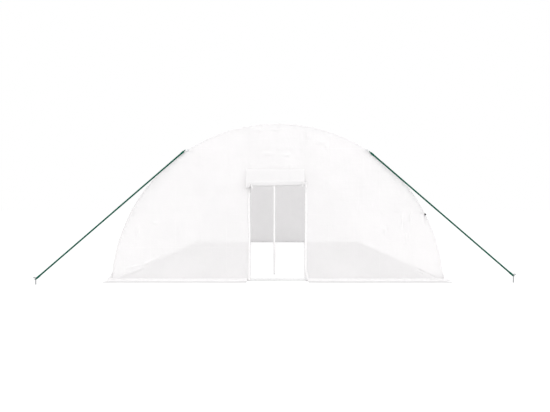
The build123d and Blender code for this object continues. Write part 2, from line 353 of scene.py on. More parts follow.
def film_material(name, look, seam_pitch, layers=1.0, painted_shade_tone=1.0, glow=None, gloss=0.1, painted_shade_band=None):
    """Woven polyethylene film: translucent, with its scrim, fold creases and welded seams.

    The last argument gives a band of painted shade: the sheet's axis, where the shade starts and is full
    along it, and how dark it is. The tone after the layers darkens the whole sheet as painted shade.
    """
    film = new_shader(name)
    flat = film.flat()
    across, along = film.axis(flat, "X"), film.axis(flat, "Y")
    haze = film.cloud(flat, 1.3, 3.0)
    crumple = abs(film.cloud(film.stretched(flat, (5.0, 1.6, 1)), 1.0, 4.0) - 0.5)
    pucker = film.cloud(film.stretched(flat, (2.2, 13.0, 1)), 1.0, 2.0)
    patchy = film.cloud(flat, 0.9, 1.0).over(0.42, 0.62)
    folds = lines(across, look.fold_pitch, FOLD_WIDTH) + lines(along, look.fold_pitch * 1.3, FOLD_WIDTH)
    creases = folds * patchy
    scrim = (waves(across, look.scrim_pitch) + waves(along, look.scrim_pitch)) * 0.25
    threads = scrim.over(0.1, 0.5)
    seams = lines(across + seam_pitch / 2, seam_pitch, look.seam_width / 2)
    height = crumple * 0.9 + pucker * 0.35 + creases * 0.05 + seams * 0.08 + scrim * 0.02
    denser = (haze - 0.5) * 0.07 + seams * 0.05 + creases * 0.02 + threads * 0.06
    opacity = look.opacity * layers - 0.01 + denser
    # The tone after the layers darkens both colours of the film: painted shade.
    shade, color = toned(look.shade, painted_shade_tone), toned(look.color, painted_shade_tone)
    tint = film.blend(shade, color, haze.over(0.3, 0.65))
    # A band of painted shade darkens the sheet along one axis; dust is how dark that shade is.
    if painted_shade_band:
        axis, start, full, dust = painted_shade_band
        tint = film.blend(tint, toned(shade, dust), film.axis(flat, axis).over(start, full))
    body = film.surface(
        Base_Color=tint,
        Roughness=0.42 + crumple * 0.3,
        Specular_IOR_Level=gloss,
        Normal=film.relief(height, look.crumple),
    )
    even = [(dark + light) / 2 for dark, light in zip(shade, color)]
    through = film.node("ShaderNodeBsdfTranslucent", {}, {"Color": (*even, 1)})
    clear = film.node("ShaderNodeBsdfTransparent", {}, {"Color": (1, 1, 1, 1)})
    lit = film.mixed(look.glow if glow is None else glow, body, through)
    return film.finish(film.mixed(opacity, clear, lit))


def webbing_material(name, color, shade, darker_tone=None):
    """Flat woven tape, ribbed along its length.

    The last argument is its colour towards the lower end, and at the edges, where it is painted shade.
    """
    tape = new_shader(name)
    flat = tape.flat()
    across, along = tape.axis(flat, "X"), tape.axis(flat, "Y")
    ribs = waves(across, RIB_PITCH) * 0.5 + 0.5
    picks = waves(along, PICK_PITCH) * 0.5 + 0.5
    wear = tape.cloud(flat, 22.0, 3.0)
    tint = tape.blend(shade, color, wear.over(0.3, 0.6))
    if darker_tone:
        # Darker towards the lower end, and painted shade along both edges.
        low = 1 - (along + wear * 0.06).over(0.48, 0.84)
        edge = abs(across).over(0.006, 0.014) * 0.8
        tint = tape.blend(tint, darker_tone, low.math("MAXIMUM", low, edge))
    body = tape.surface(
        Base_Color=tint,
        Roughness=0.82 - ribs * 0.1,
        Specular_IOR_Level=0.2,
        Normal=tape.relief(ribs * 0.6 + picks * 0.4, 0.0006),
    )
    return tape.finish(body)


def coat_material(name, color, shade):
    """Powder-coated steel tube: a fine orange peel, with dust and scuffs."""
    coat = new_shader(name)
    place = coat.place()
    dust = coat.cloud(place, 2.3, 4.0)
    scuffs = coat.cloud(coat.stretched(place, (40, 3, 40)), 1.0, 3.0).over(0.62, 0.72)
    peel = coat.cloud(place, 420.0, 1.0)
    tint = coat.blend(color, shade, dust.over(0.42, 0.7) * 0.7 + scuffs * 0.3)
    body = coat.surface(
        Base_Color=tint,
        Roughness=0.34 + dust * 0.18 + scuffs * 0.12,
        Specular_IOR_Level=0.45,
        Normal=coat.relief(peel, 0.0002),
    )
    return coat.finish(body)


def galvanised_material(name, color, shade):
    """Zinc-coated steel with its spangle, duller where it has weathered."""
    zinc = new_shader(name)
    place = zinc.place()
    cells = {"Vector": place, "Scale": 160.0}
    spangle = zinc.node("ShaderNodeTexVoronoi", {"feature": "F1"}, cells, "Color")
    facet = zinc.axis(spangle, "X")
    weather = zinc.cloud(place, 28.0, 4.0)
    tint = zinc.blend(shade, color, facet * 0.55 + weather * 0.45)
    body = zinc.surface(
        Base_Color=tint,
        Metallic=0.85 - weather * 0.25,
        Roughness=0.38 + facet * 0.14 + weather * 0.12,
        Normal=zinc.relief(weather, 0.0004),
    )
    return zinc.finish(body)


def rope_material(name, color, shade):
    """Twisted polypropylene: fine filaments along each strand, faded on its crests."""
    rope = new_shader(name)
    flat = rope.flat()
    across, along = rope.axis(flat, "X"), rope.axis(flat, "Y")
    filaments = rope.cloud(rope.stretched(flat, (900, 60, 1)), 1.0, 2.0)
    twist = ((across * (tau / 0.0024) + along * (tau / 0.02)).sine()) * 0.5 + 0.5
    faded = rope.cloud(flat, 9.0, 3.0).over(0.5, 0.75)
    tint = rope.blend(shade, color, filaments * 0.6 + twist * 0.25 + faded * 0.3)
    body = rope.surface(
        Base_Color=tint,
        Roughness=0.72 - filaments * 0.15,
        Specular_IOR_Level=0.04,
        Normal=rope.relief(filaments * 0.5 + twist * 0.5, 0.0008),
    )
    return rope.finish(body)


def plastic_material(name, color, shade, roughness):
    """Moulded plastic with a fine spark-eroded grain."""
    plastic = new_shader(name)
    place = plastic.place()
    grain = plastic.cloud(place, 900.0, 2.0)
    bloom = plastic.cloud(place, 30.0, 3.0)
    tint = plastic.blend(color, shade, bloom.over(0.45, 0.75))
    body = plastic.surface(
        Base_Color=tint,
        Roughness=roughness + grain * 0.12,
        Specular_IOR_Level=0.4,
        Normal=plastic.relief(grain, 0.00015),
    )
    return plastic.finish(body)


def from_code(name, shape):
    """Make a piece of a shape that mesh code has built."""
    mesh = bpy.data.meshes.new(name)
    shape.to_mesh(mesh)
    shape.free()
    piece = bpy.data.objects.new(name, mesh)
    bpy.context.scene.collection.objects.link(piece)
    return piece


def make_sheet(name, columns, rows, place, flat, keep=None):
    """A grid of quads placed by a formula, with its flat pattern in metres as the UV map."""
    shape = bmesh.new()
    pattern = shape.loops.layers.uv.new("flat")
    grid = [[shape.verts.new(place(a, b)) for b in rows] for a in columns]
    for i in range(len(columns) - 1):
        for j in range(len(rows) - 1):
            if keep and not keep(i, j):
                continue
            corners = ((i, j), (i + 1, j), (i + 1, j + 1), (i, j + 1))
            face = shape.faces.new([grid[c][r] for c, r in corners])
            face.smooth = True
            for loop, (c, r) in zip(face.loops, corners):
                loop[pattern].uv = flat(columns[c], rows[r])
    loose = [v for v in shape.verts if not v.link_faces]
    bmesh.ops.delete(shape, geom=loose, context="VERTS")
    return from_code(name, shape)


def make_tube(name, rings, facet):
    """A closed tube through rings of points, with its flat pattern in metres as the UV map.

    Each ring is its distance along the tube and its points, which are a facet apart.
    """
    shape = bmesh.new()
    pattern = shape.loops.layers.uv.new("flat")
    rows = [(along, [shape.verts.new(point) for point in points]) for along, points in rings]
    for (low, before), (high, after) in zip(rows, rows[1:]):
        for s in range(len(before)):
            t = (s + 1) % len(before)
            face = shape.faces.new((before[s], before[t], after[t], after[s]))
            face.smooth = True
            left, right = s * facet, (s + 1) * facet
            for loop, place in zip(face.loops, ((left, low), (right, low), (right, high), (left, high))):
                loop[pattern].uv = place
    shape.faces.new(list(reversed(rows[0][1])))
    shape.faces.new(rows[-1][1])
    bmesh.ops.recalc_face_normals(shape, faces=shape.faces)
    return from_code(name, shape)


def spaced(low, high, step):
    """Even places from low to high, about a step apart."""
    count = max(1, ceil((high - low) / step))
    return [low + (high - low) * n / count for n in range(count + 1)]


def select_only(piece):
    """Make one piece the only selected and the active one."""
    bpy.ops.object.select_all(action="DESELECT")
    piece.select_set(True)
    bpy.context.view_layer.objects.active = piece


@contextmanager
def editing(piece):
    """Edit mode on one piece, with nothing selected at the start."""
    select_only(piece)
    bpy.ops.object.mode_set(mode="EDIT")
    bpy.ops.mesh.select_mode(type="FACE")
    bpy.ops.mesh.select_all(action="DESELECT")
    yield
    bpy.ops.object.mode_set(mode="OBJECT")


def pick_faces(piece, test):
    """Select the faces whose middle and normal pass a test, in edit mode."""
    bpy.ops.mesh.select_all(action="DESELECT")
    shape = bmesh.from_edit_mesh(piece.data)
    for face in shape.faces:
        face.select_set(bool(test(face.calc_center_median(), face.normal)))
    bmesh.update_edit_mesh(piece.data)


def turn_over(piece):
    """Reverse every face of a sheet."""
    with editing(piece):
        bpy.ops.mesh.select_all(action="SELECT")
        bpy.ops.mesh.flip_normals()


def thicken(piece, thickness, offset=0.0):
    """Give a sheet its two faces and a rim."""
    select_only(piece)
    solid = piece.modifiers.new("thickness", "SOLIDIFY")
    solid.thickness = thickness
    solid.offset = offset
    bpy.ops.object.modifier_apply(modifier=solid.name)


def new_piece(name, add, **shape):
    """Add a primitive with nothing else selected, and name it."""
    bpy.ops.object.select_all(action="DESELECT")
    add(**shape)
    piece = bpy.context.object
    piece.name = name
    piece.data.name = name
    return piece


def settle(piece):
    """Put a piece's place and turn into its mesh."""
    select_only(piece)
    bpy.ops.object.transform_apply(location=True, rotation=True, scale=True)
    return piece


def block(name, size, centre=(0, 0, 0)):
    """A block with its six sides along the axes."""
    piece = new_piece(name, bpy.ops.mesh.primitive_cube_add, size=1, location=centre)
    piece.scale = size
    return settle(piece)


def cylinder(name, vertices, radius, low, high):
    """A cylinder that stands on the Z axis between two heights."""
    return settle(new_piece(
        name, bpy.ops.mesh.primitive_cylinder_add,
        vertices=vertices, radius=radius, depth=high - low, location=(0, 0, (low + high) / 2),
    ))


def soften(piece, width, segments=2):
    """Bevel a piece's sharp edges and shade it by angle."""
    select_only(piece)
    bevel = piece.modifiers.new("edges", "BEVEL")
    bevel.width = width
    bevel.segments = segments
    bevel.limit_method = "ANGLE"
    bevel.angle_limit = SHARP
    bpy.ops.object.modifier_apply(modifier=bevel.name)
    bpy.ops.object.shade_smooth_by_angle(angle=SHARP)


def copies(pattern, matrices, name):
    """Copy a pattern to each place, join the copies into one piece and remove the pattern."""
    made = []
    for matrix in matrices:
        mesh = pattern.data.copy()
        mesh.transform(matrix)
        copy = bpy.data.objects.new(name, mesh)
        bpy.context.scene.collection.objects.link(copy)
        made.append(copy)
    bpy.data.objects.remove(pattern)
    return joined(made, name)


def joined(made, name):
    """Join pieces into one."""
    bpy.ops.object.select_all(action="DESELECT")
    for piece in made:
        piece.select_set(True)
    bpy.context.view_layer.objects.active = made[0]
    if len(made) > 1:
        bpy.ops.object.join()
    piece = bpy.context.view_layer.objects.active
    piece.name = name
    piece.data.name = name
    return piece


def dress(piece, material):
    """Give a new piece its material and slot, and let it ride on the tunnel."""
    piece.data.materials.clear()
    piece.data.materials.append(material)
    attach(piece, "root")
    return piece


def set_frame(origin, x_axis, z_axis):
    """A matrix that stands a piece at a point, with its Z along z_axis and its X near x_axis."""
    up = Vector(z_axis).normalized()
    side = up.cross(Vector(x_axis)).normalized()
    ahead = side.cross(up)
    turn = Matrix((ahead, side, up)).transposed().to_4x4()
    return Matrix.Translation(Vector(origin)) @ turn


def inward(radius, angle, y):
    """A matrix at a place on the arch: Z towards its middle, X along the tunnel."""
    x, z = on_arch(radius, angle)
    return set_frame((x, y, z), (0, 1, 0), (-cos(angle), 0, -sin(angle)))


def colour(name, description, default):
    """A colour for a user to change."""
    return FloatVectorProperty(
        name=name, description=description, subtype="COLOR", default=default, min=0, max=1,
    )


def share(name, description, default):
    """A share from 0 to 1 for a user to change."""
    return FloatProperty(
        name=name, description=description, subtype="FACTOR", default=default, min=0, max=1,
    )


def length(name, description, default, low=0.0, high=1.0):
    """A length for a user to change."""
    return FloatProperty(
        name=name, description=description, unit="LENGTH", default=default, min=low, max=high,
    )


class PolytunnelFilm(bpy.types.PropertyGroup):
    """Sizes and colours of the film."""

    color: colour("Film colour", "Lightest colour of the film", (0.955, 0.943, 0.947))
    shade: colour("Film shade", "Colour of the film where it is hazier", (0.935, 0.925, 0.929))
    opacity: share("Opacity", "How much of what is behind one layer it hides", 0.8)
    glow: share("Glow", "Share of the film's light that comes through from its far side", 0.36)
    sag: length("Sag between hoops", "How far the film pulls in halfway between two hoops", 0.020, 0, 0.1)
    wrinkle: length("Wrinkle height", "Height of the larger wrinkles in the cover", 0.009, 0, 0.03)
    crumple: length("Crumple height", "Height of the finest creases, which are relief only", 0.010, 0, 0.05)
    fold_pitch: length("Fold pitch", "Distance between the creases that packing left", 0.46, 0.1, 2)
    scrim_pitch: length("Scrim pitch", "Distance between the reinforcing threads", 0.010, 0.002, 0.05)
    seam_width: length("Seam width", "Overlap of two welded panels", 0.040, 0.01, 0.1)
    mesh_step: length("Mesh step", "Size of the film's quads", 0.048, 0.02, 0.2)


class PolytunnelTrim(bpy.types.PropertyGroup):
    """Sizes and colours of the tubes, tapes, zips and fittings."""

    webbing: colour("Webbing colour", "Colour of straps, tapes and edge bands", (0.88, 0.868, 0.872))
    tube: colour("Tube colour", "Colour of the coated steel tubes", (0.90, 0.90, 0.90))
    zinc: colour("Zinc colour", "Colour of the pegs and bolts", (0.42, 0.43, 0.44))
    bright: colour("Bright zinc colour", "Colour of the ropes' hooks and links", (0.72, 0.73, 0.74))
    plastic: colour("Dark plastic colour", "Colour of the knob", (0.035, 0.035, 0.037))
    band_width: length("Edge band width", "Width of the bands beside the doorway", 0.043, 0.01, 0.1)
    tooth_pitch: length("Tooth pitch", "Distance between a zip's teeth", 0.008, 0.003, 0.02)


class PolytunnelRope(bpy.types.PropertyGroup):
    """Sizes and colours of the guy ropes."""

    color: colour("Rope colour", "Colour of the strands' crests", (0.002, 0.165, 0.105))
    shade: colour("Rope shade", "Colour between the filaments", (0.001, 0.068, 0.041))
    diameter: length("Rope diameter", "Over all three strands", 0.033, 0.004, 0.05)
    lay: length("Lay length", "Length of rope in which a strand goes round once", 0.075, 0.02, 0.3)
    sides: IntProperty(name="Strand sides", description="Faces round a strand", default=7, min=5, max=16)


class PolytunnelStage(bpy.types.PropertyGroup):
    """Floor, light and camera."""

    sky: FloatProperty(
        name="Sky light", description="Strength of the even light", default=0.915, min=0, max=5,
    )
    sun: FloatProperty(
        name="Sun light", description="Strength of the soft lamp", default=1.66, min=0, max=10,
    )
    eye_height: length("Eye height", "Height of the camera", 1.365, 0, 10)
    distance: length("Distance", "From the camera to the open end", 9.47, 1, 100)
    lens: FloatProperty(
        name="Lens", description="Focal length in millimetres", default=34.34, min=10, max=200,
    )


def hoop_sag(y):
    """0 on a hoop and 1 halfway between two."""
    t = min(max((y + HOOP_REACH) / BAY, 0), HOOP_COUNT - 1) % 1
    return 1 - (2 * t - 1) ** 2


def cover_relief(arc, y, look):
    """How far the cover stands out from its circle at an arc length from the right-hand ground."""
    height = min(arc, ARC_LENGTH - arc)
    sag = hoop_sag(y)
    drape = -look.sag * sag * (0.8 + 0.25 * ruffle(arc * 0.5, y * 0.4, 1))
    broad = look.wrinkle * 0.9 * ruffle(arc * 0.9, y * 0.55, 3) * sag
    pulled = look.wrinkle * 0.7 * (fold(arc * 1.5 + 0.35 * y, y * 0.45, 5) - 0.35) * sag**0.5
    gathers = look.wrinkle * 0.35 * ruffle(arc * 7, y * 0.9, 7) * (1 - sag) ** 3
    feet = look.wrinkle * 1.3 * ruffle(y * 2.6, arc * 0.8, 9) * exp(-height / 0.45) * sag
    return drape + broad + pulled + gathers + feet


def tucks(x, z):
    """How far the small creases stand out of the front wall's film."""
    height = 0.0
    for across, up, half, slope, way in TUCKS:
        run, rise = cos(radians(slope)), sin(radians(slope))
        along = (x - across) * run + (z - up) * rise
        off = (z - up) * run - (x - across) * rise
        height += way * TUCK_HEIGHT * exp(-((off / TUCK_HALF) ** 2) - (along / half) ** 2)
    return height


def wall_relief(x, z, end):
    """How far an end wall's film stands out of its plane. Door posts hold the front one too."""
    seed = 20 + end
    from_arch = WALL_RADIUS - hypot(x, z - ARCH_CENTRE)
    from_post = abs(abs(x) - DOOR_HALF) if end < 0 else from_arch
    held = smooth(0, 0.5, from_arch) * smooth(0.02, 0.45, from_post)
    belly = 0.016 * held * (0.6 + ruffle(x * 0.6, z * 0.7, seed + 2))
    drapes = 0.0065 * ruffle(x * 2.3, z * 0.55, seed + 4) * held
    feet = 0.008 * ruffle(x * 4.2, z * 1.1, seed + 6) * exp(-z / 0.3) * smooth(0, 0.1, from_post)
    near_arch = exp(-from_arch / 0.45) * smooth(0, 0.12, from_arch)
    hung = 0.007 * (fold(x * 1.9, z * 0.3, seed + 8) - 0.3) * near_arch
    if end > 0:
        return belly + drapes + feet + hung
    corner = hypot(abs(x) - DOOR_HALF, z - DOOR_TOP)
    fan = fold((z - DOOR_TOP) / (0.25 + from_post) * 2.2, corner * 0.3, seed)
    pulls = 0.005 * (fan - 0.4) * held * exp(-corner / 1.1)
    return belly + drapes + feet + hung + pulls


def wall_out(x, z, end):
    """Distance of an end wall's film from the middle of the tunnel."""
    return HALF_LENGTH - MID_FILM + wall_relief(x, z, end) + (tucks(x, z) if end < 0 else 0)


def wall_columns(step):
    """Places across an end wall, closer together near the arch's feet."""
    edge = on_arch(WALL_RADIUS, GROUND_ANGLE)[0] - 0.001
    outer = asin(DOOR_HALF / edge)
    side = [edge * sin(a) for a in spaced(outer, pi / 2, step / edge)]
    middle = spaced(-DOOR_HALF, DOOR_HALF, step)
    return [-x for x in reversed(side)] + middle[1:-1] + side


def wall_place(x, up, end):
    """A point of an end wall's film, up being its share of the way from the ground to the arch."""
    top = ARCH_CENTRE + sqrt(WALL_RADIUS**2 - x * x)
    z = up * top
    if end < 0 and abs(x) < DOOR_HALF - 1e-6 and up >= DOOR_SHARE:
        z = DOOR_TOP + (top - DOOR_TOP) * (up - DOOR_SHARE) / (1 - DOOR_SHARE)
    return Vector((x, end * wall_out(x, z, end), z))


class POLYTUNNEL_OT_frame(bpy.types.Operator):
    """Coat the steel frame and galvanise the pegs, links and hooks"""

    bl_idname = "polytunnel.frame"
    bl_label = "Finish the steel frame"

    def execute(self, context):
        trim = context.scene.polytunnel_trim
        coat = coat_material("white_coat", trim.tube, toned(trim.tube, 0.94))
        zinc = galvanised_material("galvanised_steel", trim.zinc, toned(trim.zinc, 0.62))
        dark = plastic_material("dark_plastic", trim.plastic, toned(trim.plastic, 1.6), 0.42)
        # The sill's coat is a darker copy of the white coat: painted shade.
        sill_shade = coat_material("painted_shade_coat", toned(trim.tube, 0.83), toned(trim.tube, 0.80))
        bright = galvanised_material("bright_zinc", trim.bright, toned(trim.bright, 0.85))
        finishes = {"frame_tube": coat, "peg_steel": zinc, "black_plastic": dark}
        own = {"front_sill": sill_shade, "front_rope_hooks": bright, "back_rope_hooks": bright}
        for part in frame["record"]["subparts"]:
            node, slot_name = part["node"], part["material_slot"]
            if slot_name in finishes:
                for slot in NODES[node].material_slots:
                    slot.material = own.get(node, finishes[slot_name])
        return {"FINISHED"}


class POLYTUNNEL_OT_cover(bpy.types.Operator):
    """Stretch the cover over the hoops as one welded sheet"""

    bl_idname = "polytunnel.cover"
    bl_label = "Stretch the cover"

    def execute(self, context):
        look = context.scene.polytunnel_film
        edge = SOCKET_RADIUS
        film = film_material("cover_film", look, ARC_LENGTH / PANELS)

        def place(arc, y):
            """The cover turns in over the end hoops with the sockets' radius."""
            angle = GROUND_ANGLE + arc / ARCH_RADIUS
            beyond = max(abs(y) - (HALF_LENGTH - edge), 0) / edge * pi / 2
            radius = ARCH_RADIUS - MID_FILM + cover_relief(arc, y, look) - edge * (1 - cos(beyond))
            along = y
            if beyond:
                along = (HALF_LENGTH - edge + edge * sin(beyond)) * (1 if y > 0 else -1)
            x, z = on_arch(radius, angle)
            return x, along, max(z, 0.001)

        arcs = spaced(0, ARC_LENGTH, look.mesh_step)
        bays = [
            y for start, stop in zip(HOOP_Y, HOOP_Y[1:])
            for y in spaced(start, stop, look.mesh_step)[:-1]
        ]
        rim = spaced(HALF_LENGTH - edge, HALF_LENGTH, edge / 4)
        ys = [-y for y in reversed(rim)] + bays[1:] + [HOOP_Y[-1] - 0.004] + rim
        piece = make_sheet("cover_sheet", arcs, ys, place, lambda arc, y: (arc, y))
        turn_over(piece)
        dress(piece, film)
        names = [n for n in NODES if n.startswith("cover_")]
        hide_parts(*names)
        return {"FINISHED"}


class POLYTUNNEL_OT_end_walls(bpy.types.Operator):
    """Close both ends with film, open at the front doorway"""

    bl_idname = "polytunnel.end_walls"
    bl_label = "Close the ends"

    def execute(self, context):
        look = context.scene.polytunnel_film
        films = {
            -1: film_material("end_film", look, 2 * HALF_WIDTH),
            # The back wall's film is darker than the front one's: painted shade.
            1: film_material("back_film", look, 2 * HALF_WIDTH, layers=1.16, painted_shade_tone=0.93),
        }
        step = look.mesh_step / 2
        columns = wall_columns(step)
        low = spaced(0, DOOR_SHARE, step / HEIGHT)
        ups = low + spaced(DOOR_SHARE, 1, step / HEIGHT)[1:]

        def beside_door(i, j):
            middle = (columns[i] + columns[i + 1]) / 2
            return abs(middle) > DOOR_HALF or j >= len(low) - 1

        sector = WALL_RADIUS**2 * (pi / 2 - GROUND_ANGLE)
        area = sector + WALL_RADIUS * cos(GROUND_ANGLE) * ARCH_CENTRE
        doorway = 2 * DOOR_HALF * DOOR_TOP
        front = ("front_wall_left", "front_wall_right", "front_wall_over_door")
        ends = (
            ("front_wall_sheet", -1, beside_door, area - doorway, front, ["hoop_front", "front_posts"]),
            ("back_wall_sheet", 1, None, area, ("back_wall",), ["hoop_back"]),
        )
        for name, end, keep, cut, nodes, carriers in ends:
            piece = make_sheet(
                name, columns, ups,
                lambda x, up: wall_place(x, up, end),
                lambda x, up: (x, wall_place(x, up, end).z),
                keep,
            )
            if end > 0:
                turn_over(piece)
            dress(piece, films[end])
            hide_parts(*nodes)
            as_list(carriers)
        return {"FINISHED"}


class POLYTUNNEL_OT_door_roll(bpy.types.Operator):
    """Roll the front door up under its tie tapes"""

    bl_idname = "polytunnel.door_roll"
    bl_label = "Roll up the front door"

    turns: IntProperty(name="Turns", description="Turns of film in the roll", default=8, min=2, max=16)

    def execute(self, context):
        look = context.scene.polytunnel_film
        trim = context.scene.polytunnel_trim
        # The roll's film is darker than the wall's, and darker still where it becomes the flap: painted
        # shade.
        film = film_material(
            "rolled_film", look, NO_SEAM, layers=1.35, painted_shade_tone=0.935, glow=0.22,
            painted_shade_band=("Y", 1.47, 1.51, 0.965),
        )
        low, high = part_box("front_door_roll")
        outer = (high.y - low.y) / 2 - 0.003
        centre_y = (low.y + high.y) / 2 + 0.002
        middle_z = (low.z + high.z) / 2
        slope = (high.z - low.z - 2 * outer - 0.006) / (high.x - low.x)
        turn_length = tau * (ROLL_CORE + outer) / 2
        ties = (-DOOR_HALF + 0.004, DOOR_HALF - 0.016)
        # The flap comes down from just before the wall and meets the roll in front of its top
        sewn_y = -HALF_LENGTH - 0.021
        leaves = radians(128)

        def axis_z(x):
            """The roll hangs under its solid, sags between the ties and droops at its left end."""
            between = min(max((x - ties[0]) / (ties[1] - ties[0]), 0), 1)
            droop = 0.045 * smooth(0, 0.075, -DOOR_HALF - x)
            return middle_z - 0.017 + slope * x - 0.006 * sin(pi * between) - droop

        def place(x, wound):
            """Wound runs from 0 at the core to the number of turns, and on up the flap."""
            if wound > self.turns:
                up = wound - self.turns
                _, y, z = place(x, self.turns)
                top = middle_z + ROLL_FLAP + 0.004 * ruffle(x * 3, 0.4, 57)
                ease = up + 0.10 * sin(pi * up)
                return x, y + (sewn_y - y) * ease + 0.002 * ruffle(x * 6, up, 53), z + (top - z) * up
            pinch = 1 - 0.10 * sum(exp(-(((x - tie) / 0.03) ** 2)) for tie in ties)
            slack = 0.95 + 0.05 * ruffle(x * 3.1, wound * 0.8, 51)
            radius = (ROLL_CORE + (outer - ROLL_CORE) * wound / self.turns) * slack * pinch
            turn = leaves - tau * (wound - self.turns)
            square = 0.26 if cos(turn) < 0 and sin(turn) < 0 else 0.16
            radius *= 1 + square * sin(2 * turn) ** 2
            shift = 0.007 * ruffle(wound * 2.7, 0.3, 55) * smooth(0.35, 0.6, abs(x))
            across = x + shift * (1 if x > 0 else -1)
            return across, centre_y + radius * cos(turn), axis_z(x) + radius * sin(turn)

        wound = spaced(0, self.turns, 1 / ROLL_FACES) + [self.turns + n / 9 for n in range(1, 10)]
        piece = make_sheet(
            "front_door_sheet", spaced(low.x, high.x, 0.04), wound, place,
            lambda x, turn: (x, turn * turn_length),
        )
        dress(piece, film)
        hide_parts("front_door_roll")
        webbing = webbing_material("tie_tape", trim.webbing, toned(trim.webbing, 0.9))
        tapes = [
            self.tie(f"roll_tie_{number}", tie, centre_y, axis_z(tie), outer * 0.9, webbing)
            for number, tie in enumerate(ties, 1)
        ]
        return {"FINISHED"}

    def tie(self, name, x, y, z, radius, webbing):
        """A tape loop round the roll, with its two ends knotted and hanging in front."""
        width = 0.022
        columns = spaced(-width / 2, width / 2, width / 3)
        front = y - radius

        def around(across, turn):
            grip = radius + 0.004 + 0.002 * sin(3 * turn)
            return x + across, y + grip * cos(turn + pi), z + grip * sin(turn + pi)

        turns = spaced(0.08, tau - 0.08, tau / ROLL_FACES)
        loop = make_sheet(name, columns, turns, around, lambda across, turn: (across, turn * radius))
        thicken(loop, TAPE_THICKNESS, 1.0)
        knot = new_piece(
            name + "_knot", bpy.ops.mesh.primitive_uv_sphere_add, segments=14, ring_count=8,
            radius=0.016, location=(x, front - 0.010, z),
        )
        with editing(knot):
            bpy.ops.mesh.select_all(action="SELECT")
            bpy.ops.transform.resize(value=(1.0, 0.55, 0.8))
            pick_faces(knot, lambda middle, normal: abs(middle.x) < 0.004)
            bpy.ops.transform.resize(value=(1, 0.75, 0.75))
        settle(knot)
        knot.data.uv_layers[0].name = "flat"
        parts = [loop, knot]
        for side in (-1, 1):
            def hang(across, down, side=side):
                lean = side * (0.012 + 0.35 * down)
                sway = 0.004 * sin(22 * down) + 0.01 * down
                return x + lean + across, front - 0.012 - sway, z - 0.006 - down

            downs = spaced(0, 0.075 + 0.012 * side, 0.008)
            tail = make_sheet(f"{name}_tail", columns, downs, hang, lambda across, down: (across, down))
            thicken(tail, TAPE_THICKNESS)
            parts.append(tail)
        return dress(joined(parts, name), webbing)


class POLYTUNNEL_OT_door_edges(bpy.types.Operator):
    """Sew the bands beside the doorway and the zips on them"""

    bl_idname = "polytunnel.door_edges"
    bl_label = "Edge the doorway"

    def execute(self, context):
        trim = context.scene.polytunnel_trim
        webbing = webbing_material("edge_band", trim.webbing, toned(trim.webbing, 0.93))
        # The teeth are darker than the tape: partly their own tone, partly painted shade along the
        # doorway's edges.
        teeth = plastic_material("zip_teeth", toned(trim.webbing, 0.74), toned(trim.webbing, 0.67), 0.3)
        for hand, name in ((-1, "left"), (1, "right")):
            self.band(f"front_band_{name}", hand, trim.band_width, webbing)
            self.zip_teeth(f"front_zip_{name}", hand, trim.tooth_pitch, teeth)
        self.top_band("front_band_top", trim.band_width, webbing)
        self.sliders(teeth)
        return {"FINISHED"}

    def band(self, name, hand, width, webbing):
        """A doubled band of film round one post, from the ground to the top of the doorway."""
        inner = DOOR_HALF - 0.001
        out = HALF_LENGTH + 0.001

        def place(across, z):
            curl = 0.004 * sin(pi * across / width)
            pucker = 0.0012 * ruffle(z * 9, across * 8, 61 + hand)
            flare = (0.030 if hand > 0 else 0.004) * (1 - smooth(0.04, 0.22, z))
            free = smooth(0.05, 0.3, z) * smooth(0.1, 0.5, DOOR_TOP - z)
            lean = 0.012 * ruffle(z * 1.6, 0.4, 65 + hand) * free
            return hand * (inner + across + flare) + lean, -out - curl - pucker, z

        heights = spaced(0.004, DOOR_TOP, 0.03)
        piece = make_sheet(name, spaced(0, width, width / 6), heights, place, lambda a, z: (a, z))
        if hand < 0:
            turn_over(piece)
        thicken(piece, BAND_THICKNESS)
        dress(piece, webbing)

    def top_band(self, name, side_width, webbing):
        """A doubled band along the top of the doorway, in front of the header."""
        reach = DOOR_HALF + side_width
        width = 0.05
        out = HALF_LENGTH + 0.0015

        def place(x, across):
            return x, -out - 0.003 * sin(pi * across / width), DOOR_TOP + across

        run = spaced(-reach, reach, 0.04)
        piece = make_sheet(name, run, spaced(0, width, 0.01), place, lambda x, a: (a, x))
        thicken(piece, BAND_THICKNESS)
        dress(piece, webbing)

    def zip_teeth(self, name, hand, pitch, material):
        """Half of a coil zip, open down the edge of the doorway."""
        tooth = block(name, (0.007, 0.003, pitch * 0.62))
        with editing(tooth):
            pick_faces(tooth, lambda middle, normal: normal.y < -0.9)
            bpy.ops.mesh.inset(thickness=0.0008, depth=0.0006)
        x = hand * (DOOR_HALF - ZIP_IN)
        count = int((DOOR_TOP - SILL_TOP - 0.02) / pitch)
        places = [
            Matrix.Translation((x, -HALF_LENGTH - 0.003, SILL_TOP + 0.015 + n * pitch))
            for n in range(count)
        ]
        dress(copies(tooth, places, name), material)

    def sliders(self, material):
        """A slider with its pull at the top of each open zip, under the roll."""
        body = block("zip_sliders", (0.014, 0.008, 0.024))
        with editing(body):
            pick_faces(body, lambda middle, normal: normal.z > 0.9)
            bpy.ops.transform.resize(value=(0.6, 0.8, 1))
            pick_faces(body, lambda middle, normal: normal.y < -0.9)
            bpy.ops.mesh.inset(thickness=0.002, depth=0.0015)
        soften(body, 0.0012)
        pull = block("zip_pull", (0.009, 0.0025, 0.042), (0, -0.008, -0.028))
        with editing(pull):
            pick_faces(pull, lambda middle, normal: normal.z < -0.9)
            bpy.ops.transform.resize(value=(1.5, 1, 1))
            bpy.ops.mesh.extrude_region_move(TRANSFORM_OT_translate={"value": (0, 0, -0.008)})
            bpy.ops.transform.resize(value=(0.6, 1, 1))
        soften(pull, 0.0008)
        slider = joined([body, pull], "zip_sliders")
        places = [
            Matrix.Translation((hand * (DOOR_HALF - ZIP_IN), -HALF_LENGTH - 0.006, DOOR_TOP - 0.09))
            for hand in (-1, 1)
        ]
        dress(copies(slider, places, "zip_sliders"), material)


